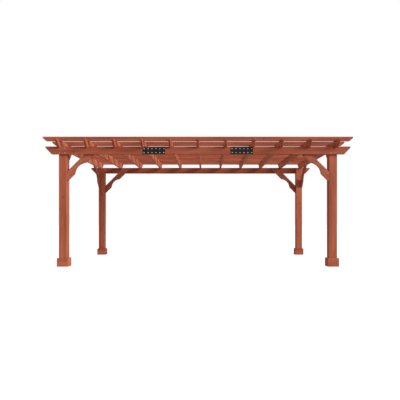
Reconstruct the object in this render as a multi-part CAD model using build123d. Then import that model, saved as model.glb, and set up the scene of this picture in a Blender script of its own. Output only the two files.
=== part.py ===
# Open timber pergola: four posts, two spliced beams, rafters across them and purlins on top.
# The origin is on the ground at the middle of the plan. X runs along the beams, -Y is the front, Z is up.
from build123d import *
from math import sqrt
import os

# Posts and their base trims
post_side = 146
post_span_x = 5012
post_span_y = 2911
trim_height = 152
trim_thickness = 27
trim_chamfer = 6

# Beams, each of three boards end to end on the outer faces of the posts
beam_height = 140
beam_thickness = 38
beam_overhang = 228
beam_underside = 2016
beam_nose = 22
beam_rake = 112
middle_board_length = 1574

# Steel plates over the butt joints of the beam boards, level with their lower edges
plate_length = 400
plate_height = 126
plate_thickness = 5
plate_corner = 4

# Rafters, notched over the beams and clear of the plates
rafter_count = 11
rafter_height = 140
rafter_thickness = 38
rafter_overhang = 204
rafter_nose = 28
rafter_rake = 130
rafter_notch = 24
notch_clearance = 0.5

# Purlins, on edge across the rafters and notched over them
purlin_count = 7
purlin_height = 80
purlin_thickness = 38
purlin_end_overhang = 262
purlin_front_overhang = 72
purlin_first_step = 468
purlin_nose = 25
purlin_rake = 66
purlin_notch = 27

# Knee braces, arched along their lower edges
brace_width = 129
brace_thickness = 38
brace_drop = 489
brace_arch = 282
brace_rise = 53

# Levels and places that follow from the sizes above
beam_top = beam_underside + beam_height
rafter_underside = beam_top - rafter_notch
rafter_top = rafter_underside + rafter_height
purlin_underside = rafter_top - purlin_notch
purlin_top = purlin_underside + purlin_height
post_x = (post_span_x - post_side) / 2
post_y = (post_span_y - post_side) / 2
beam_y = (post_span_y + beam_thickness) / 2
plate_y = beam_y + (beam_thickness + plate_thickness) / 2
plate_x = middle_board_length / 2
end_rafter_x = (post_span_x - rafter_thickness) / 2
rafter_step = 2 * end_rafter_x / (rafter_count - 1)
rafter_places = [index * rafter_step - end_rafter_x for index in range(rafter_count)]
end_purlin_y = post_span_y / 2 + purlin_front_overhang - purlin_thickness / 2
second_purlin_y = end_purlin_y - purlin_first_step
purlin_step = 2 * second_purlin_y / (purlin_count - 3)
inner_purlins = [index * purlin_step - second_purlin_y for index in range(purlin_count - 2)]
purlin_places = [-end_purlin_y, *inner_purlins, end_purlin_y]

sides = {"left": -1, "right": 1}
ends = {"front": -1, "back": 1}
standing = (Align.CENTER, Align.CENTER, Align.MIN)


def board(points, thickness, plane):
    outline = make_face(Polyline(*points, close=True).edges())
    return extrude(plane * outline, amount=thickness / 2, both=True)


def mirrored_pair(right_half):
    left_half = [(-x, z) for x, z in reversed(right_half)]
    return right_half + left_half


def post():
    return Box(post_side, post_side, rafter_underside, align=standing)


def base_trim():
    outer_side = post_side + 2 * trim_thickness
    sleeve = Box(outer_side, outer_side, trim_height, align=standing)
    top_edges = sleeve.faces().sort_by(Axis.Z)[-1].edges()
    return chamfer(top_edges, trim_chamfer) - Box(post_side, post_side, trim_height, align=standing)


def end_beam_board(side):
    joint = middle_board_length / 2
    tip = post_span_x / 2 + beam_overhang
    points = [
        (side * joint, beam_underside),
        (side * (tip - beam_rake), beam_underside),
        (side * tip, beam_top - beam_nose),
        (side * tip, beam_top),
        (side * joint, beam_top),
    ]
    return board(points, beam_thickness, Plane.XZ)


def middle_beam_board():
    middle_height = beam_underside + beam_height / 2
    return Pos(0, 0, middle_height) * Box(middle_board_length, beam_thickness, beam_height)


def splice_plate():
    plate = Box(plate_length, plate_thickness, plate_height)
    plate = fillet(plate.edges().filter_by(Axis.Y), plate_corner)
    return Pos(0, 0, beam_underside + plate_height / 2) * plate


def rafter():
    tip = post_span_y / 2 + rafter_overhang
    notch_inside = post_span_y / 2 - notch_clearance
    notch_outside = post_span_y / 2 + beam_thickness + plate_thickness + notch_clearance
    back_half = [
        (notch_inside, rafter_underside),
        (notch_inside, beam_top),
        (notch_outside, beam_top),
        (notch_outside, rafter_underside),
        (tip - rafter_rake, rafter_underside),
        (tip, rafter_top - rafter_nose),
        (tip, rafter_top),
    ]
    return board(mirrored_pair(back_half), rafter_thickness, Plane.YZ)


def purlin():
    tip = post_span_x / 2 + purlin_end_overhang
    right_half = [
        (tip - purlin_rake, purlin_underside),
        (tip, purlin_top - purlin_nose),
        (tip, purlin_top),
    ]
    plain = board(mirrored_pair(right_half), purlin_thickness, Plane.XZ)
    notch_width = rafter_thickness + 2 * notch_clearance
    notch = Box(notch_width, purlin_thickness, purlin_notch, align=standing)
    return plain - [Pos(x, 0, purlin_underside) * notch for x in rafter_places]


def brace_outline(head):
    # Rises at 45 degrees from a post face at zero, and runs on past the level zero by the head.
    slant = brace_width * sqrt(2)
    arch_start = (brace_drop - brace_arch / sqrt(2)) / 2
    arch_end = (brace_drop + brace_arch / sqrt(2)) / 2
    crown = brace_drop / 2
    lift = brace_rise / sqrt(2)
    heel = (0, -brace_drop)
    tip = (brace_drop + head, head)
    hollow = ThreePointArc(
        (arch_start, arch_start - brace_drop),
        (crown - lift, crown - brace_drop + lift),
        (arch_end, arch_end - brace_drop),
    )
    lower_heel = Line(heel, hollow @ 0)
    lower_tip = Line(hollow @ 1, tip)
    upper = Polyline(tip, (tip[0] - slant, head), (0, slant - brace_drop), heel)
    return make_face(lower_heel.edges() + hollow.edges() + lower_tip.edges() + upper.edges())


def beam_brace():
    # Laps the inner face of the beam and stops under the rafters.
    head = rafter_underside - beam_underside
    outline = brace_outline(head)
    return extrude(Plane.XZ * outline, amount=brace_thickness / 2, both=True)


def rafter_brace():
    # Stands under an end rafter and meets its lower edge.
    outline = brace_outline(0)
    return extrude(Plane.YZ * outline, amount=brace_thickness / 2, both=True)


def place_post_group(parts, end, side):
    x = sides[side] * post_x
    y = ends[end] * post_y
    parts[f"post_{end}_{side}"] = Pos(x, y, 0) * post()
    parts[f"base_trim_{end}_{side}"] = Pos(x, y, 0) * base_trim()

    turn = 0 if side == "left" else 180
    brace_x = sides[side] * (post_x - post_side / 2)
    brace_y = ends[end] * (post_span_y - brace_thickness) / 2
    beam_foot = Pos(brace_x, brace_y, beam_underside)
    parts[f"beam_brace_{end}_{side}"] = beam_foot * Rot(0, 0, turn) * beam_brace()

    turn = 0 if end == "front" else 180
    brace_x = sides[side] * end_rafter_x
    brace_y = ends[end] * (post_y - post_side / 2)
    rafter_foot = Pos(brace_x, brace_y, rafter_underside)
    parts[f"rafter_brace_{end}_{side}"] = rafter_foot * Rot(0, 0, turn) * rafter_brace()


def place_beam_group(parts, end):
    y = ends[end] * beam_y
    parts[f"{end}_beam_middle"] = Pos(0, y, 0) * middle_beam_board()
    for side, sign in sides.items():
        parts[f"{end}_beam_{side}"] = Pos(0, y, 0) * end_beam_board(sign)
        parts[f"splice_plate_{end}_{side}"] = Pos(sign * plate_x, ends[end] * plate_y, 0) * splice_plate()


def place_roof(parts):
    for number, x in enumerate(rafter_places, start=1):
        parts[f"rafter_{number:02d}"] = Pos(x, 0, 0) * rafter()
    notched_purlin = purlin()
    for number, y in enumerate(purlin_places, start=1):
        parts[f"purlin_{number}"] = Pos(0, y, 0) * notched_purlin


def build():
    parts = {}
    for end in ends:
        for side in sides:
            place_post_group(parts, end, side)
        place_beam_group(parts, end)
    place_roof(parts)
    return parts


os.makedirs("parts", exist_ok=True)
for name, solid in build().items():
    export_step(solid, f"parts/{name}.step")
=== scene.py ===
import bmesh
import bpy
import math
import random
from mathutils import Euler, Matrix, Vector


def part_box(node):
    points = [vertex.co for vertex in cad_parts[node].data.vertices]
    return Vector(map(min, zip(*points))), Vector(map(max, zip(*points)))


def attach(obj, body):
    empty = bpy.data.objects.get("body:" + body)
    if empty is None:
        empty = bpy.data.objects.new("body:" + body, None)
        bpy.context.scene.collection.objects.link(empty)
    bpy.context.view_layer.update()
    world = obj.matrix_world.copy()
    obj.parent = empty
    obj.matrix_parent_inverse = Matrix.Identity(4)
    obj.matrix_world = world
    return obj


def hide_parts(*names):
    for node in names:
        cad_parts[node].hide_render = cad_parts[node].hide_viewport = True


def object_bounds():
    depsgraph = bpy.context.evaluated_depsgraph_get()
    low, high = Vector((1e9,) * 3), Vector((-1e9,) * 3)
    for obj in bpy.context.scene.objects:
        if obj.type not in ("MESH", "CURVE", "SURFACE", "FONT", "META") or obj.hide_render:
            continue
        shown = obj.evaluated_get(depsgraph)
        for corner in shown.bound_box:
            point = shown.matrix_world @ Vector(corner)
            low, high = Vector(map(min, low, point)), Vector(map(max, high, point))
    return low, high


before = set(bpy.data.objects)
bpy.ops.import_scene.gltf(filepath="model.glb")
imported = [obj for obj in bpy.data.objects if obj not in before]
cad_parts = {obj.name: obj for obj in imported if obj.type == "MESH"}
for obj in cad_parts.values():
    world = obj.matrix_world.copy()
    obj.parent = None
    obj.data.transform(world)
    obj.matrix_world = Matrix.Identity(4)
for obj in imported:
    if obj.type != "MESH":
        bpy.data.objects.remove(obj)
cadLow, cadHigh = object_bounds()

# Wooden pergola in red-brown stained timber, in metres: x along the beams, -y the front, z up
ends = {"front": -1, "back": 1}
sides = {"left": -1, "right": 1}
alongX, alongY, alongZ = Vector((1, 0, 0)), Vector((0, 1, 0)), Vector((0, 0, 1))
facing = {"front": (0, 0, 0), "back": (0, 0, 180), "up": (-90, 0, 0)}        # turns of a screw, in degrees
rafterNodes = sorted(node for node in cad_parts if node.startswith("rafter_") and node[-1].isdigit())
purlinNodes = sorted(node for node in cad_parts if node.startswith("purlin_"))
nearby = 0.0001        # a point this close to a plane lies on it
straight = 0.99        # directions whose cosine is past this count as the same
dice = random.Random(11)        # seeded, so every run gives the same planks


# Hand tools used on every piece

def focus(piece):
    bpy.ops.object.select_all(action="DESELECT")
    piece.select_set(True)
    bpy.context.view_layer.objects.active = piece


def startBlock(name, low, high):
    bpy.ops.object.select_all(action="DESELECT")
    low, high = Vector(low), Vector(high)
    bpy.ops.mesh.primitive_cube_add(size=1, location=(low + high) / 2)
    block = bpy.context.active_object
    block.name = name
    block.scale = high - low
    bpy.ops.object.transform_apply(location=True, rotation=True, scale=True)
    return block


def startRod(name, corners, radius, low, high):        # lies along y, from low to high
    bpy.ops.object.select_all(action="DESELECT")
    bpy.ops.mesh.primitive_cylinder_add(
        vertices=corners, radius=radius, depth=high - low,
        location=(0, (low + high) / 2, 0), rotation=(math.pi / 2, 0, 0))
    rod = bpy.context.active_object
    rod.name = name
    bpy.ops.object.transform_apply(location=True, rotation=True, scale=True)
    return rod


def openEdit(piece, kind):        # edit mode with nothing picked
    focus(piece)
    bpy.ops.object.mode_set(mode="EDIT")
    bpy.ops.mesh.select_mode(type=kind)
    bpy.ops.mesh.select_all(action="DESELECT")
    return bmesh.from_edit_mesh(piece.data)


def closeEdit():
    bpy.ops.object.mode_set(mode="OBJECT")


def cutAway(piece, point, normal):        # drops what lies on the normal's side
    openEdit(piece, "FACE")
    bpy.ops.mesh.select_all(action="SELECT")
    bpy.ops.mesh.bisect(plane_co=point, plane_no=normal, use_fill=True, clear_outer=True)
    closeEdit()


def takeOut(piece, cutter):        # notch, hollow or hole
    focus(piece)
    cut = piece.modifiers.new("cut", "BOOLEAN")
    cut.operation = "DIFFERENCE"
    cut.solver = "EXACT"
    cut.object = cutter
    bpy.ops.object.modifier_apply(modifier=cut.name)
    bpy.data.objects.remove(cutter)


def bevelWhere(piece, test, size, steps=1):
    mesh = openEdit(piece, "EDGE")
    for edge in mesh.edges:
        edge.select_set(test(edge))
    bmesh.update_edit_mesh(piece.data)
    bpy.ops.mesh.bevel(offset=size, segments=steps, affect="EDGES")
    closeEdit()


easeSet = {"steps": 2, "sharp": 25, "narrow": 1.5}        # sharp in degrees, narrow in bevel widths


def easeEdges(piece, size, steps=easeSet["steps"], sharp=easeSet["sharp"]):        # rounds the outer edges

    def isOuter(edge):
        return edge.is_convex and edge.calc_face_angle(0) > math.radians(sharp)

    bevelWhere(piece, isOuter, size, steps)
    mesh = openEdit(piece, "EDGE")
    worn = mesh.verts.layers.float.new("wornEdge")        # 1 on the crest of a rounded edge
    narrow = easeSet["narrow"] * size
    strips = {face for face in mesh.faces if min(edge.calc_length() for edge in face.edges) < narrow}
    for point in mesh.verts:
        point[worn] = float(strips.issuperset(point.link_faces))
    bmesh.update_edit_mesh(piece.data)
    closeEdit()


def repeatAlong(piece, count, step):
    focus(piece)
    row = piece.modifiers.new("row", "ARRAY")
    row.count = count
    row.use_relative_offset = False
    row.use_constant_offset = True
    row.constant_offset_displace = step
    bpy.ops.object.modifier_apply(modifier=row.name)


def placeCopy(master, name, place, turn=(0, 0, 0)):
    focus(master)
    bpy.ops.object.duplicate(linked=False)
    copy = bpy.context.active_object
    copy.name = name
    copy.rotation_euler = [math.radians(angle) for angle in turn]
    copy.location = place
    bpy.ops.object.transform_apply(location=True, rotation=True, scale=True)
    return copy


def joinAll(name, pieces):
    focus(pieces[0])
    for piece in pieces:
        piece.select_set(True)
    bpy.ops.object.join()
    joined = bpy.context.active_object
    joined.name = name
    return joined


def scrap(*masters):
    for master in masters:
        bpy.data.objects.remove(master)


smoothUnder = {"flat": 12, "round": 35}        # degrees between faces that still shade as one


def dress(piece, material, smooth=smoothUnder["flat"]):
    piece.data.materials.clear()
    piece.data.materials.append(material)
    focus(piece)
    bpy.ops.object.shade_smooth_by_angle(angle=math.radians(smooth))
    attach(piece, "root")


# Node helpers: a value may be a socket or a plain number or colour

def feed(tree, value, socket):
    if isinstance(value, bpy.types.NodeSocket):
        tree.links.new(value, socket)
    else:
        socket.default_value = value


def calc(tree, operation, first, second):
    node = tree.nodes.new("ShaderNodeMath")
    node.operation = operation
    feed(tree, first, node.inputs[0])
    feed(tree, second, node.inputs[1])
    return node.outputs[0]


def remap(tree, value, fromRange, toRange):
    node = tree.nodes.new("ShaderNodeMapRange")
    node.interpolation_type = "SMOOTHSTEP"
    feed(tree, value, node.inputs["Value"])
    for socket, number in zip(node.inputs[1:5], (*fromRange, *toRange)):        # both ranges' low and high
        socket.default_value = number
    return node.outputs[0]


def stretched(tree, point, scale):
    node = tree.nodes.new("ShaderNodeMapping")
    node.inputs["Scale"].default_value = scale
    tree.links.new(point, node.inputs["Vector"])
    return node.outputs[0]


def noiseOn(tree, point, scale, detail, part="Fac"):
    node = tree.nodes.new("ShaderNodeTexNoise")
    node.inputs["Scale"].default_value = 1
    node.inputs["Detail"].default_value = detail
    tree.links.new(stretched(tree, point, scale), node.inputs["Vector"])
    return node.outputs[part]


def mixColour(tree, kind, amount, first, second):
    node = tree.nodes.new("ShaderNodeMix")
    node.data_type = "RGBA"
    node.blend_type = kind
    feed(tree, amount, node.inputs[0])
    feed(tree, first, node.inputs[6])        # the colour sockets come after the number and vector ones
    feed(tree, second, node.inputs[7])
    return node.outputs[2]


def rampOn(tree, value, stops):
    node = tree.nodes.new("ShaderNodeValToRGB")
    feed(tree, value, node.inputs[0])
    while len(node.color_ramp.elements) < len(stops):
        node.color_ramp.elements.new(0.5)        # moved to its place below
    for element, (place, colour) in zip(node.color_ramp.elements, stops):
        element.position = place
        element.color = (*colour, 1)
    return node.outputs[0]


def readStamp(tree, name, part="Fac"):
    node = tree.nodes.new("ShaderNodeAttribute")
    node.attribute_name = name
    return node.outputs[part]


def readPlace(tree):
    return tree.nodes.new("ShaderNodeTexCoord").outputs["Object"]


def newMaterial(name):
    material = bpy.data.materials.new(name)
    material.use_nodes = True
    return material, material.node_tree, material.node_tree.nodes["Principled BSDF"]


def roughen(tree, shader, height, strength, depth):
    bump = tree.nodes.new("ShaderNodeBump")
    bump.inputs["Strength"].default_value = strength
    bump.inputs["Distance"].default_value = depth
    tree.links.new(height, bump.inputs["Height"])
    tree.links.new(bump.outputs[0], shader.inputs["Normal"])


# Stained timber: growth rings about each plank's own heart, streaks, fibres, knots, end grain, worn edges

timberNoise = {        # waves a metre along, across and through the plank, and the depth of detail
    "wander": ((0.9, 6, 6), 2), "broad": ((0.8, 11, 11), 3), "streak": ((2.2, 24, 24), 2),
    "fibre": ((7, 420, 420), 3), "scuff": ((9, 60, 60), 3),
}
timberLook = {
    "stain": [(0.3, (0.298, 0.0755, 0.0398)), (0.5, (0.423, 0.1172, 0.0624)), (0.7, (0.550, 0.1690, 0.0940))],
    "broadShare": 0.65, "streakShare": 0.35, "toneShare": 0.134,
    "ringWidth": 0.0065, "wander": 0.024, "ringProfile": [(0, 0.1), (0.55, 0.3), (0.9, 1), (1, 0.1)],
    "lateWood": (0.60, 0.50, 0.46), "ringShare": 0.42,
    "fibreRange": (0.42, 0.72), "fibreShare": 0.34, "fibreHeight": 1.6,
    "knot": (0.110, 0.029, 0.016), "knotShare": 0.8, "knotCells": (1.5, 3.4, 0), "knotRim": (0.012, 0.038),
    "knotPull": 0.018, "pullReach": 0.2,
    "endGrain": (0.72, 0.64, 0.60), "endRange": (0.45, 0.7), "endRoughness": 0.15,
    "worn": (0.620, 0.2300, 0.1400), "wornShare": 0.45, "scuffRange": (0.4, 0.65), "scuffShares": (0.25, 1),
    "grainRange": (0.4, 2.2), "roughness": (0.50, 0.70), "gloss": 0.15, "bump": 0.35, "bumpDepth": 0.0007,
}


def makeTimber():
    look = timberLook
    material, tree, shader = newMaterial("stainedTimber")
    point = readStamp(tree, "plankPoint", "Vector")
    tone = readStamp(tree, "plankToneWithPaintedShade")

    bend = tree.nodes.new("ShaderNodeVectorMath")        # rings wander along the plank
    bend.operation = "MULTIPLY_ADD"
    tree.links.new(noiseOn(tree, point, *timberNoise["wander"], "Color"), bend.inputs[0])
    bend.inputs[1].default_value = (0, look["wander"], look["wander"])
    tree.links.new(stretched(tree, point, (0, 1, 1)), bend.inputs[2])
    radius = tree.nodes.new("ShaderNodeVectorMath")
    radius.operation = "LENGTH"
    tree.links.new(bend.outputs[0], radius.inputs[0])

    cells = tree.nodes.new("ShaderNodeTexVoronoi")        # sparse knots, long along the grain
    cells.voronoi_dimensions = "2D"
    cells.inputs["Scale"].default_value = 1
    tree.links.new(stretched(tree, point, look["knotCells"]), cells.inputs["Vector"])
    knot = remap(tree, cells.outputs["Distance"], look["knotRim"], (1, 0))
    pull = remap(tree, cells.outputs["Distance"], (0, look["pullReach"]), (look["knotPull"], 0))
    rings = calc(tree, "DIVIDE", calc(tree, "ADD", radius.outputs["Value"], pull), look["ringWidth"])
    ringStops = [(place, (grey, grey, grey)) for place, grey in look["ringProfile"]]
    lateWood = rampOn(tree, calc(tree, "FRACT", rings, 0), ringStops)

    broad = calc(tree, "MULTIPLY", noiseOn(tree, point, *timberNoise["broad"]), look["broadShare"])
    streak = calc(tree, "MULTIPLY", noiseOn(tree, point, *timberNoise["streak"]), look["streakShare"])
    fibre = noiseOn(tree, point, *timberNoise["fibre"])
    level = calc(tree, "ADD", broad, streak)
    # the plank tone holds a random spread plus painted front-to-back shading
    level = calc(tree, "ADD", level, calc(tree, "MULTIPLY", tone, look["toneShare"]))
    colour = rampOn(tree, level, look["stain"])
    ringAmount = calc(tree, "MULTIPLY", lateWood, look["ringShare"])
    colour = mixColour(tree, "MULTIPLY", ringAmount, colour, (*look["lateWood"], 1))
    fibreAmount = remap(tree, fibre, look["fibreRange"], (0, look["fibreShare"]))
    colour = mixColour(tree, "MULTIPLY", fibreAmount, colour, (*look["lateWood"], 1))
    endGrain = remap(tree, readStamp(tree, "endGrain"), look["endRange"], (0, 1))
    colour = mixColour(tree, "MULTIPLY", endGrain, colour, (*look["endGrain"], 1))
    knotAmount = calc(tree, "MULTIPLY", knot, look["knotShare"])
    colour = mixColour(tree, "MIX", knotAmount, colour, (*look["knot"], 1))
    scuff = remap(tree, noiseOn(tree, point, *timberNoise["scuff"]), look["scuffRange"], look["scuffShares"])
    worn = calc(tree, "MULTIPLY", readStamp(tree, "wornEdge"), scuff)
    worn = calc(tree, "MULTIPLY", worn, look["wornShare"])
    colour = mixColour(tree, "MIX", worn, colour, (*look["worn"], 1))
    tree.links.new(colour, shader.inputs["Base Color"])

    grainHeight = calc(tree, "ADD", lateWood, calc(tree, "MULTIPLY", fibre, look["fibreHeight"]))
    roughness = remap(tree, grainHeight, look["grainRange"], look["roughness"])
    roughness = calc(tree, "ADD", roughness, calc(tree, "MULTIPLY", endGrain, look["endRoughness"]))
    tree.links.new(roughness, shader.inputs["Roughness"])
    shader.inputs["Specular IOR Level"].default_value = look["gloss"]
    roughen(tree, shader, calc(tree, "SUBTRACT", grainHeight, knot), look["bump"], look["bumpDepth"])
    return material


# Black powder coat with orange peel, chipped along the edges

coatLook = {
    "coat": [(0.3, (0.0050, 0.0049, 0.0048)), (0.7, (0.0130, 0.0124, 0.0118))],
    "bareSteel": (0.16, 0.155, 0.15),
    "haze": ((14, 14, 14), 3), "peel": ((520, 520, 520), 1), "chips": ((160, 160, 160), 2),
    "chipRange": (0.5, 0.62), "chipShares": (0, 0.8),
    "hazeRange": (0.3, 0.7), "roughness": (0.34, 0.54), "gloss": 0.35, "bump": 0.6, "bumpDepth": 0.0004,
}


def makeCoatedSteel():
    look = coatLook
    material, tree, shader = newMaterial("blackPowderCoat")
    place = readPlace(tree)
    haze = noiseOn(tree, place, *look["haze"])
    chips = remap(tree, noiseOn(tree, place, *look["chips"]), look["chipRange"], look["chipShares"])
    worn = calc(tree, "MULTIPLY", readStamp(tree, "wornEdge"), chips)
    colour = mixColour(tree, "MIX", worn, rampOn(tree, haze, look["coat"]), (*look["bareSteel"], 1))
    tree.links.new(colour, shader.inputs["Base Color"])
    tree.links.new(remap(tree, haze, look["hazeRange"], look["roughness"]), shader.inputs["Roughness"])
    shader.inputs["Specular IOR Level"].default_value = look["gloss"]
    roughen(tree, shader, noiseOn(tree, place, *look["peel"]), look["bump"], look["bumpDepth"])
    return material


# Metal of the fasteners: cloudy patches and fine scratches

metalGrain = {"patches": ((260, 260, 260), 3), "patchRange": (0.3, 0.7),
              "scratches": ((2400, 500, 900), 2), "bump": 0.15, "bumpDepth": 0.0002}
# pale zinc, whiter and less metallic than the real metal: partly its own colour, partly a painted highlight
# for the glint on the bolt heads
zincGlintLook = {"tones": [(0.35, (0.78, 0.78, 0.77)), (0.65, (0.90, 0.90, 0.88))],
            "roughness": (0.30, 0.48), "metallic": 0.3}
screwLook = {"tones": [(0.35, (0.030, 0.018, 0.012)), (0.65, (0.065, 0.042, 0.030))],
             "roughness": (0.38, 0.55), "metallic": 0.6}


def makeMetal(name, look):
    material, tree, shader = newMaterial(name)
    place = readPlace(tree)
    patches = noiseOn(tree, place, *metalGrain["patches"])
    scratches = noiseOn(tree, place, *metalGrain["scratches"])
    roughness = remap(tree, patches, metalGrain["patchRange"], look["roughness"])
    tree.links.new(rampOn(tree, patches, look["tones"]), shader.inputs["Base Color"])
    tree.links.new(roughness, shader.inputs["Roughness"])
    shader.inputs["Metallic"].default_value = look["metallic"]
    roughen(tree, shader, scratches, metalGrain["bump"], metalGrain["bumpDepth"])
    return material


timber = makeTimber()
coatedSteel = makeCoatedSteel()
glintZinc = makeMetal("paleZincWithPaintedGlint", zincGlintLook)
screwSteel = makeMetal("brownScrewCoat", screwLook)
print("finishes ready")


# Each plank is stamped with its own grain: place along and across it, tone, and which faces are end grain.
# The tone is a random spread plus painted shade by end: darker on the back posts, trims and braces, lighter
# on the back beam

plankSet = {"heartOff": (0.035, 0.11), "boxedShare": 0.2, "heartAside": 0.03,
            "stretch": 30, "toneSpread": 0.22}


def stampGrain(piece, along, across, tone, boxedHeart=False):
    data = piece.data
    along, across = along.normalized(), across.normalized()
    through = along.cross(across)
    low = Vector([min(v.co[i] for v in data.vertices) for i in range(3)])
    high = Vector([max(v.co[i] for v in data.vertices) for i in range(3)])
    middle = (low + high) / 2
    off = dice.uniform(*plankSet["heartOff"]) * dice.choice((-1, 1))
    aside = dice.uniform(-1, 1) * plankSet["heartAside"]
    if boxedHeart:        # a post sawn round the heart of the log
        off = off * plankSet["boxedShare"]
    start = dice.uniform(0, plankSet["stretch"])
    tone += dice.uniform(-1, 1) * plankSet["toneSpread"]
    data.attributes.new("plankPoint", "FLOAT_VECTOR", "POINT")
    data.attributes.new("plankToneWithPaintedShade", "FLOAT", "POINT")
    data.attributes.new("endGrain", "FLOAT", "FACE")
    places, tones = data.attributes["plankPoint"].data, data.attributes["plankToneWithPaintedShade"].data
    for v in data.vertices:
        fromMiddle = v.co - middle
        places[v.index].vector = (
            fromMiddle.dot(along) + start, fromMiddle.dot(across) + aside, fromMiddle.dot(through) + off)
        tones[v.index].value = tone
    cutEnds = data.attributes["endGrain"].data
    for face in data.polygons:
        cutEnds[face.index].value = abs(face.normal.dot(along))


def finishPlank(piece, node, along, across, tone, boxedHeart=False):
    stampGrain(piece, along, across, tone, boxedHeart)
    dress(piece, timber)
    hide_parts(node)


# Posts with eased corners

# back posts get a lower tone than front ones: painted shade
postSet = {"ease": 0.007, "steps": 3, "tone": {"front": 0.3, "back": -0.05}}


def buildPosts():
    for end in ends:
        for side in sides:
            node = f"post_{end}_{side}"
            post = startBlock(f"timber_{node}", *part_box(node))
            easeEdges(post, postSet["ease"], postSet["steps"])
            finishPlank(post, node, alongZ, alongX, postSet["tone"][end], boxedHeart=True)
    print("posts done")


# Base trims: four mitred boards round each post, chamfered along the top

# back trims get a lower tone than front ones: painted shade
trimSet = {"chamfer": 0.006, "ease": 0.0015, "sharp": 50, "mitreGap": 0.0002,
           "tone": {"front": 0.7, "back": -0.3}}


def buildTrimBoard():        # the front board, with the middle of its post at the origin
    low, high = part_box("base_trim_front_left")
    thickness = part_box("post_front_left")[0].y - low.y
    half, height = (high.x - low.x) / 2, high.z - low.z
    board = startBlock("trimBoard", (-half, -half, 0), (half, thickness - half, height))
    for side in sides.values():
        cutAway(board, (0, -trimSet["mitreGap"], 0), (side, 1, 0))        # mitre

    def isTopOuter(edge):
        return all(v.co.z > height - nearby and v.co.y < nearby - half for v in edge.verts)

    bevelWhere(board, isTopOuter, trimSet["chamfer"])
    easeEdges(board, trimSet["ease"], sharp=trimSet["sharp"])
    return board


def buildTrims():
    master = buildTrimBoard()
    for end in ends:
        for side in sides:
            node = f"base_trim_{end}_{side}"
            low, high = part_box(node)
            place = ((low.x + high.x) / 2, (low.y + high.y) / 2, low.z)
            boards = []
            for quarter in range(4):
                board = placeCopy(master, "trimSide", place, (0, 0, 90 * quarter))
                stampGrain(board, alongX if quarter % 2 == 0 else alongY, alongZ, trimSet["tone"][end])
                boards.append(board)
            trim = joinAll(f"timber_{node}", boards)
            dress(trim, timber)
            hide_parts(node)
    scrap(master)
    print("base trims done")


# Beams of three boards, with raked outer ends

# the back beam gets a higher tone than the front one: painted light lifting the shade under the roof
beamSet = {"nose": 0.022, "rake": 0.112, "ease": 0.004, "tone": {"front": -0.8, "back": -0.45}}


def rakeEnd(board, tip, height, sizes, outward):        # slants an end out and up to its nose
    fall = height - sizes["nose"]
    cutAway(board, tip - alongZ * sizes["nose"], outward * fall - alongZ * sizes["rake"])


def buildBeams():
    for end in ends:
        for part in ("left", "middle", "right"):
            node = f"{end}_beam_{part}"
            low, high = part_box(node)
            board = startBlock(f"timber_{node}", low, high)
            if part in sides:
                tip = Vector((high.x if part == "right" else low.x, low.y, high.z))
                rakeEnd(board, tip, high.z - low.z, beamSet, alongX * sides[part])
            easeEdges(board, beamSet["ease"])
            finishPlank(board, node, alongX, alongZ, beamSet["tone"][end])
    print("beams done")


# Rafters, notched over both beams, with raked ends

rafterSet = {"nose": 0.028, "rake": 0.130, "play": 0.0005, "ease": 0.004, "tone": 0.8}


def buildRafters():
    low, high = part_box(rafterNodes[0])
    thick = high.x - low.x
    plateLow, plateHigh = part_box("splice_plate_front_left")
    plateGap = plateHigh.y - plateLow.y + rafterSet["play"]        # notches pass over the plates too
    master = startBlock("rafter", (-thick / 2, low.y, low.z), (thick / 2, high.y, high.z))
    for end, sign in ends.items():
        tip = Vector((0, high.y if sign > 0 else low.y, high.z))
        rakeEnd(master, tip, high.z - low.z, rafterSet, alongY * sign)
        beamLow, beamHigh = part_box(f"{end}_beam_middle")
        outer, inner = (beamLow.y, beamHigh.y) if sign < 0 else (beamHigh.y, beamLow.y)
        near, far = sorted((outer + sign * plateGap, inner - sign * rafterSet["play"]))
        takeOut(master, startBlock("notch", (-thick, near, low.z - thick), (thick, far, beamHigh.z)))
    easeEdges(master, rafterSet["ease"])
    for node in rafterNodes:
        nodeLow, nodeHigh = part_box(node)
        rafter = placeCopy(master, f"timber_{node}", ((nodeLow.x + nodeHigh.x) / 2, 0, 0))
        finishPlank(rafter, node, alongY, alongZ, rafterSet["tone"])
    scrap(master)
    print("rafters done")


# Purlins, notched over every rafter, with raked ends and counterbored screw holes

purlinSet = {"nose": 0.025, "rake": 0.066, "play": 0.0005, "ease": 0.0035, "tone": -0.5,
             "holeSides": 12, "holeRadius": 0.0065, "holeDepth": 0.005}


def rafterRow():        # the first rafter's middle in x, and the step to the next rafter
    firstLow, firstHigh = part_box(rafterNodes[0])
    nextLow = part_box(rafterNodes[1])[0]
    return (firstLow.x + firstHigh.x) / 2, (nextLow.x - firstLow.x, 0, 0)


def startNotches(low, thick):        # one round each rafter
    rafterLow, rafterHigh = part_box(rafterNodes[0])
    play = purlinSet["play"]
    notches = startBlock("notches", (rafterLow.x - play, -thick, low.z - thick),
                         (rafterHigh.x + play, thick, rafterHigh.z))
    repeatAlong(notches, len(rafterNodes), rafterRow()[1])
    return notches


def startHoles(high):        # counterbores in the top edge, one over each rafter
    rafterX, step = rafterRow()
    bpy.ops.object.select_all(action="DESELECT")
    bpy.ops.mesh.primitive_cylinder_add(
        vertices=purlinSet["holeSides"], radius=purlinSet["holeRadius"], depth=2 * purlinSet["holeDepth"],
        location=(rafterX, 0, high.z))
    holes = bpy.context.active_object
    bpy.ops.object.transform_apply(location=True, rotation=True, scale=True)
    repeatAlong(holes, len(rafterNodes), step)
    return holes


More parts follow.
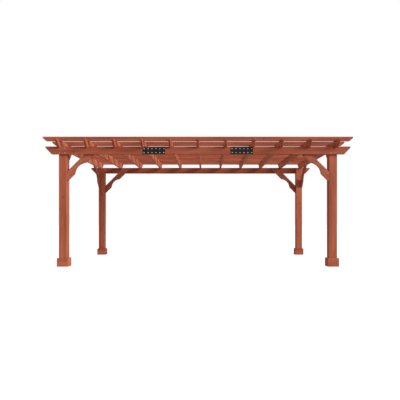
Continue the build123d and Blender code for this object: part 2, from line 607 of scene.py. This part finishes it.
def buildPurlins():
    low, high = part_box(purlinNodes[0])
    thick = high.y - low.y
    master = startBlock("purlin", (low.x, -thick / 2, low.z), (high.x, thick / 2, high.z))
    for sign in sides.values():
        tip = Vector((high.x if sign > 0 else low.x, 0, high.z))
        rakeEnd(master, tip, high.z - low.z, purlinSet, alongX * sign)
    takeOut(master, startNotches(low, thick))
    easeEdges(master, purlinSet["ease"])
    takeOut(master, startHoles(high))
    for node in purlinNodes:
        nodeLow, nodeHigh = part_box(node)
        purlin = placeCopy(master, f"timber_{node}", (0, (nodeLow.y + nodeHigh.y) / 2, 0))
        finishPlank(purlin, node, alongX, alongZ, purlinSet["tone"])
    scrap(master)
    print("purlins done")


# Knee braces at 45 degrees, hollowed to an arch below

# back braces get a lower tone than front ones: painted shade under the roof
braceSet = {"width": 0.129, "drop": 0.489, "arch": 0.282, "rise": 0.053, "ease": 0.004, "archSides": 160,
            "tone": {"front": -1.0, "back": -1.5}}


def buildBrace(node):        # foot at the origin, running along +x
    low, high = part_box(node)
    run = high.z - low.z
    thick = min(high.x - low.x, high.y - low.y)
    width = braceSet["width"]
    brace = startBlock("brace", (-width, -thick / 2, 0), (run * math.sqrt(2) + width, thick / 2, width))
    focus(brace)
    brace.rotation_euler = (0, -math.pi / 4, 0)
    bpy.ops.object.transform_apply(location=True, rotation=True, scale=True)
    cutAway(brace, (0, 0, 0), (-1, 0, 0))        # against the post
    cutAway(brace, (0, 0, run), (0, 0, 1))        # under the rafters
    rise, halfArch = braceSet["rise"], braceSet["arch"] / 2
    radius = (halfArch ** 2 + rise ** 2) / (2 * rise)
    below = (radius - rise) / math.sqrt(2)
    hollow = startRod("hollow", braceSet["archSides"], radius, -thick, thick)
    hollow.location = (braceSet["drop"] / 2 + below, 0, braceSet["drop"] / 2 - below)
    takeOut(brace, hollow)
    easeEdges(brace, braceSet["ease"])
    return brace


def buildBraces():
    beamBrace = buildBrace("beam_brace_front_left")
    rafterBrace = buildBrace("rafter_brace_front_left")
    for end, toBack in ends.items():
        tone = braceSet["tone"][end]
        for side, toRight in sides.items():
            node = f"beam_brace_{end}_{side}"
            low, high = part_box(node)
            foot = (high.x if toRight > 0 else low.x, (low.y + high.y) / 2, low.z)
            brace = placeCopy(beamBrace, f"timber_{node}", foot, (0, 0, 90 + 90 * toRight))
            finishPlank(brace, node, Vector((-toRight, 0, 1)), Vector((toRight, 0, 1)), tone)
            node = f"rafter_brace_{end}_{side}"
            low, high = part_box(node)
            foot = ((low.x + high.x) / 2, high.y if toBack > 0 else low.y, low.z)
            brace = placeCopy(rafterBrace, f"timber_{node}", foot, (0, 0, -90 * toBack))
            finishPlank(brace, node, Vector((0, -toBack, 1)), Vector((0, toBack, 1)), tone)
    scrap(beamBrace, rafterBrace)
    print("knee braces done")


# Bolts and screws, modelled once facing the front with their seat at y = 0

boltSet = {"washerRadius": 0.0080, "washerThick": 0.0014, "headRadius": 0.0062, "headHeight": 0.0048}
lagSet = {"washerRadius": 0.0050, "washerThick": 0.0010, "headRadius": 0.0038, "headHeight": 0.0034}
headSet = {"washerSides": 24, "washerEase": 0.0004, "headSides": 6, "headEase": 0.0008, "headSteps": 2}
screwSet = {"sides": 12, "radius": 0.0052, "proud": 0.0006, "ease": 0.0004,
            "recess": 0.0024, "recessShare": 0.8, "depth": 0.0016}


def frontEdges(front):
    return lambda e: all(abs(v.co.y - front) < nearby for v in e.verts)


def buildHexHead(name, sizes):        # a hexagon on its washer
    washerFront = -sizes["washerThick"]
    headFront = washerFront - sizes["headHeight"]
    washer = startRod("washer", headSet["washerSides"], sizes["washerRadius"], washerFront, 0)
    bevelWhere(washer, frontEdges(washerFront), headSet["washerEase"])
    head = startRod("head", headSet["headSides"], sizes["headRadius"], headFront, washerFront)
    bevelWhere(head, frontEdges(headFront), headSet["headEase"], headSet["headSteps"])
    return joinAll(name, [washer, head])


def buildScrew():        # a low head with a round recess
    screw = startRod("screw", screwSet["sides"], screwSet["radius"], -screwSet["proud"], screwSet["depth"])
    bevelWhere(screw, frontEdges(-screwSet["proud"]), screwSet["ease"])
    mesh = openEdit(screw, "FACE")
    for face in mesh.faces:
        face.select_set(face.normal.y < -straight)
    bmesh.update_edit_mesh(screw.data)
    bpy.ops.mesh.inset(thickness=screwSet["radius"] - screwSet["recess"])
    sink = screwSet["depth"] * screwSet["recessShare"]
    bpy.ops.mesh.extrude_region_move(TRANSFORM_OT_translate={"value": (0, sink, 0)})
    closeEdit()
    return screw


def boltGrid(head, name, end, first, sizes):
    bolts = placeCopy(head, name, first, facing[end])
    repeatAlong(bolts, sizes["columns"], (sizes["across"], 0, 0))
    repeatAlong(bolts, sizes["rows"], (0, 0, sizes["up"]))
    dress(bolts, glintZinc, smooth=smoothUnder["round"])


# Splice plates on the outer faces of the beams, each with twelve bolts

plateSet = {"corner": 0.004, "cornerSteps": 4, "ease": 0.0008, "sharp": 40,
            "columns": 6, "rows": 2, "across": 0.0705, "up": 0.0705}


def isThrough(edge):        # runs from front to back
    return abs((edge.verts[0].co - edge.verts[1].co).normalized().y) > straight


def buildPlates(boltHead):
    for end, toBack in ends.items():
        for side in sides:
            node = f"splice_plate_{end}_{side}"
            low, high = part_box(node)
            plate = startBlock(f"steel_{node}", low, high)
            bevelWhere(plate, isThrough, plateSet["corner"], plateSet["cornerSteps"])
            easeEdges(plate, plateSet["ease"], sharp=plateSet["sharp"])
            dress(plate, coatedSteel)
            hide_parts(node)
            firstX = (low.x + high.x) / 2 - plateSet["across"] * (plateSet["columns"] - 1) / 2
            firstZ = (low.z + high.z) / 2 - plateSet["up"] * (plateSet["rows"] - 1) / 2
            outer = low.y if toBack < 0 else high.y
            boltGrid(boltHead, f"bolts_{node}", end, (firstX, outer, firstZ), plateSet)
    print("splice plates done")


# Four lag screws through the beam into each post

postBoltSet = {"columns": 2, "rows": 2, "across": 0.088, "up": 0.082, "firstUp": 0.026, "toMiddle": 0.006}


def buildPostBolts(lagHead):
    for end, toBack in ends.items():
        beamLow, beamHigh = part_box(f"{end}_beam_left")
        outer = beamLow.y if toBack < 0 else beamHigh.y
        firstZ = beamLow.z + postBoltSet["firstUp"]
        for side, toRight in sides.items():
            low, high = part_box(f"post_{end}_{side}")
            firstX = (low.x + high.x - postBoltSet["across"]) / 2 - toRight * postBoltSet["toMiddle"]
            boltGrid(lagHead, f"bolts_post_{end}_{side}", end, (firstX, outer, firstZ), postBoltSet)
    print("post bolts done")


# Screws in the purlins, rafters, trims and braces

screwPlaces = {"trimUp": 0.085, "trimApart": 0.096, "braceUp": 0.055, "braceApart": 0.080, "braceCount": 2}


def screwRow(screw, name, place):        # one over each rafter
    row = placeCopy(screw, name, place, facing["up"])
    repeatAlong(row, len(rafterNodes), rafterRow()[1])
    dress(row, screwSteel, smooth=smoothUnder["round"])


def buildTrimScrews(screw, end, side):        # two in each board
    low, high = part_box(f"base_trim_{end}_{side}")
    middle, half = (low + high) / 2, (high.x - low.x) / 2
    screws = []
    for quarter in range(4):
        for across in (-0.5, 0.5):
            offset = Vector((screwPlaces["trimApart"] * across, -half, 0))
            offset.rotate(Euler((0, 0, math.radians(90 * quarter))))
            place = (middle.x + offset.x, middle.y + offset.y, low.z + screwPlaces["trimUp"])
            screws.append(placeCopy(screw, "trimScrew", place, (0, 0, 90 * quarter)))
    dress(joinAll(f"screws_base_trim_{end}_{side}", screws), screwSteel, smooth=smoothUnder["round"])


def buildBraceScrews(screw, end, side):        # into the beam from inside
    low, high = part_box(f"beam_brace_{end}_{side}")
    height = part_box(f"{end}_beam_middle")[0].z + screwPlaces["braceUp"]
    inner = high.y if end == "front" else low.y
    turn = facing["back"] if end == "front" else facing["front"]
    tip = low.x if side == "right" else high.x
    screws = []
    for number in range(screwPlaces["braceCount"]):
        x = tip + sides[side] * (braceSet["width"] + screwPlaces["braceApart"] * number)
        screws.append(placeCopy(screw, "braceScrew", (x, inner, height), turn))
    dress(joinAll(f"screws_beam_brace_{end}_{side}", screws), screwSteel, smooth=smoothUnder["round"])


def buildScrews(screw):
    rafterX = rafterRow()[0]
    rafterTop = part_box(rafterNodes[0])[1].z
    for node in purlinNodes:
        low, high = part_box(node)
        screwRow(screw, f"screws_{node}", (rafterX, (low.y + high.y) / 2, high.z - purlinSet["holeDepth"]))
    for end in ends:
        low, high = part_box(f"{end}_beam_middle")
        screwRow(screw, f"screws_rafters_{end}", (rafterX, (low.y + high.y) / 2, rafterTop))
        for side in sides:
            buildTrimScrews(screw, end, side)
            buildBraceScrews(screw, end, side)
    print("screws done")


buildPosts()
buildTrims()
buildBeams()
buildRafters()
buildPurlins()
buildBraces()
boltHead = buildHexHead("boltHead", boltSet)
lagHead = buildHexHead("lagHead", lagSet)
screw = buildScrew()
buildPlates(boltHead)
buildPostBolts(lagHead)
buildScrews(screw)
scrap(boltHead, lagHead, screw)


# Stage: a glowing pale floor, surroundings white to the camera, one soft key light from the right

stageSet = {
    "floorSize": 240, "floorDrop": 0.0005, "floorCloud": ((0.6, 0.6, 0.6), 2),
    "floorTones": [(0.3, (0.29, 0.29, 0.29)), (0.7, (0.31, 0.31, 0.31))],
    "floorGlow": 0.9, "floorRoughness": 0.9, "floorGloss": 0.1,
    "fill": (0.485, 0.408, 0.370), "backdrop": (1, 1, 1),
    "keyStrength": 3.5, "keySpread": 30, "keyFrom": (0.81, -0.45, 0.37),
}


def buildFloor():
    bpy.ops.object.select_all(action="DESELECT")
    height = cadLow.z - stageSet["floorDrop"]
    bpy.ops.mesh.primitive_plane_add(size=stageSet["floorSize"], location=(0, 0, height))
    floor = bpy.context.active_object
    floor.name = "paleFloor"
    material, tree, shader = newMaterial("paleFloor")
    cloud = noiseOn(tree, readPlace(tree), *stageSet["floorCloud"])
    tree.links.new(rampOn(tree, cloud, stageSet["floorTones"]), shader.inputs["Base Color"])
    shader.inputs["Emission Color"].default_value = (1, 1, 1, 1)
    shader.inputs["Emission Strength"].default_value = stageSet["floorGlow"]        # like a light table
    shader.inputs["Roughness"].default_value = stageSet["floorRoughness"]
    shader.inputs["Specular IOR Level"].default_value = stageSet["floorGloss"]
    floor.data.materials.append(material)
    floor.visible_diffuse = False        # no white bounce on the undersides
    floor.visible_glossy = False


def buildLight():
    world = bpy.data.worlds.new("studio")
    world.use_nodes = True
    tree = world.node_tree
    seen = tree.nodes.new("ShaderNodeLightPath").outputs["Is Camera Ray"]
    colour = mixColour(tree, "MIX", seen, (*stageSet["fill"], 1), (*stageSet["backdrop"], 1))
    tree.links.new(colour, tree.nodes["Background"].inputs["Color"])
    bpy.context.scene.world = world
    key = bpy.data.objects.new("key", bpy.data.lights.new("key", "SUN"))
    key.data.energy = stageSet["keyStrength"]
    key.data.angle = math.radians(stageSet["keySpread"])
    key.rotation_euler = Vector(stageSet["keyFrom"]).to_track_quat("Z", "Y").to_euler()
    bpy.context.scene.collection.objects.link(key)
    bpy.context.scene.view_settings.view_transform = "Standard"


# Camera at the photograph's place, level and looking along +y

cameraSet = {"place": (0.162, -8.9615, 0.799), "focalPixels": 417, "axisPixel": (206.96, 222.2),
             "imagePixels": 400, "sensor": 36, "clipEnd": 500}


def buildCamera():
    pixels = cameraSet["imagePixels"]
    camera = bpy.data.objects.new("camera", bpy.data.cameras.new("camera"))
    camera.data.sensor_width = cameraSet["sensor"]
    camera.data.lens = cameraSet["sensor"] * cameraSet["focalPixels"] / pixels
    camera.data.shift_x = 0.5 - cameraSet["axisPixel"][0] / pixels
    camera.data.shift_y = cameraSet["axisPixel"][1] / pixels - 0.5
    camera.data.clip_end = cameraSet["clipEnd"]
    camera.location = cameraSet["place"]
    camera.rotation_euler = (math.pi / 2, 0, 0)
    bpy.context.scene.collection.objects.link(camera)
    bpy.context.scene.camera = camera


buildFloor()
buildLight()
print("stage done")
buildCamera()
print("camera done")
